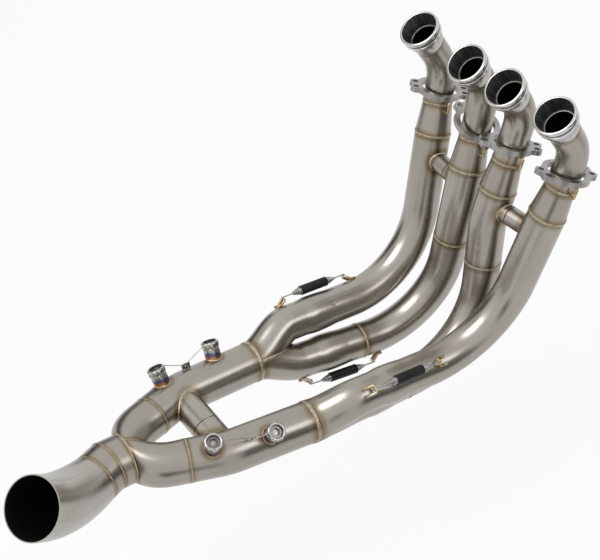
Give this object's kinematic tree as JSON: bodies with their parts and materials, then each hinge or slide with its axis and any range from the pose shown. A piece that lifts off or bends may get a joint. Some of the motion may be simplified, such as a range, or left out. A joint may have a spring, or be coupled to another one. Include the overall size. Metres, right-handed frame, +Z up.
{
  "type": "motorcycle exhaust header",
  "caption": "Motorcycle exhaust header: bent primaries with loose port flanges, sprung slip joints, merging collectors, balance tube, plugged sensor bosses and a rising outlet.",
  "frame": {"origin": "midway between the mouths of the two outer port spigots", "axes": "+X towards the front of the machine, +Y towards its left side, +Z up"},
  "size_m": [0.7047, 0.2798, 0.4133],
  "materials": {
    "primary_tube": "satin, straw heat tint beside the welds",
    "port_tube": "satin, straw and brown heat tint",
    "collector_tube": "satin, straw heat tint beside the welds",
    "outlet_tube": "satin, straw heat tint beside the welds",
    "cross_tube": "satin",
    "spigot_polished": "turned and polished",
    "flange_matte": "matte, blasted",
    "hook_wire": "bent wire with straw heat tint",
    "sleeve_rubber": "matte black",
    "spring_wire": "bright spring wire",
    "boss_tinted": "copper, purple and blue heat tint",
    "plug_steel": "turned",
    "lock_wire": "bright"
  },
  "bodies": {
    "root": {"balance_stub_left": "cross_tube", "balance_stub_right": "cross_tube", "collector_leg_1": "collector_tube", "collector_leg_2": "collector_tube", "collector_leg_3": "collector_tube", "collector_leg_4": "collector_tube", "crossover_stub_1": "cross_tube", "crossover_stub_2": "cross_tube", "crossover_stub_3": "cross_tube", "crossover_stub_4": "cross_tube", "final_y_leg_left": "outlet_tube", "final_y_leg_right": "outlet_tube", "flange_stop_hooks": "hook_wire", "lockwire_left": "lock_wire", "lockwire_right": "lock_wire", "lockwire_tabs": "lock_wire", "outlet_bend": "outlet_tube", "outlet_segment_front": "outlet_tube", "outlet_segment_rear": "outlet_tube", "port_elbow_1": "port_tube", "port_elbow_2": "port_tube", "port_elbow_3": "port_tube", "port_elbow_4": "port_tube", "port_flange_1": "flange_matte", "port_flange_2": "flange_matte", "port_flange_3": "flange_matte", "port_flange_4": "flange_matte", "port_spigot_1": "spigot_polished", "port_spigot_2": "spigot_polished", "port_spigot_3": "spigot_polished", "port_spigot_4": "spigot_polished", "primary_cone_1": "port_tube", "primary_cone_2": "port_tube", "primary_cone_3": "port_tube", "primary_cone_4": "port_tube", "primary_lower_2": "primary_tube", "primary_lower_3": "primary_tube", "primary_tube_1": "primary_tube", "primary_tube_4": "primary_tube", "primary_upper_2": "primary_tube", "primary_upper_3": "primary_tube", "secondary_front_left": "collector_tube", "secondary_front_right": "collector_tube", "secondary_rear_left": "collector_tube", "secondary_rear_right": "collector_tube", "sensor_bosses": "boss_tinted", "sensor_plugs": "plug_steel", "slip_end_2": "primary_tube", "slip_end_3": "primary_tube", "spring_1": "spring_wire", "spring_2": "spring_wire", "spring_3": "spring_wire", "spring_4": "spring_wire", "spring_hooks": "hook_wire", "spring_sleeve_1": "sleeve_rubber", "spring_sleeve_2": "sleeve_rubber", "spring_sleeve_3": "sleeve_rubber", "spring_sleeve_4": "sleeve_rubber"}
  },
  "joints": []
}
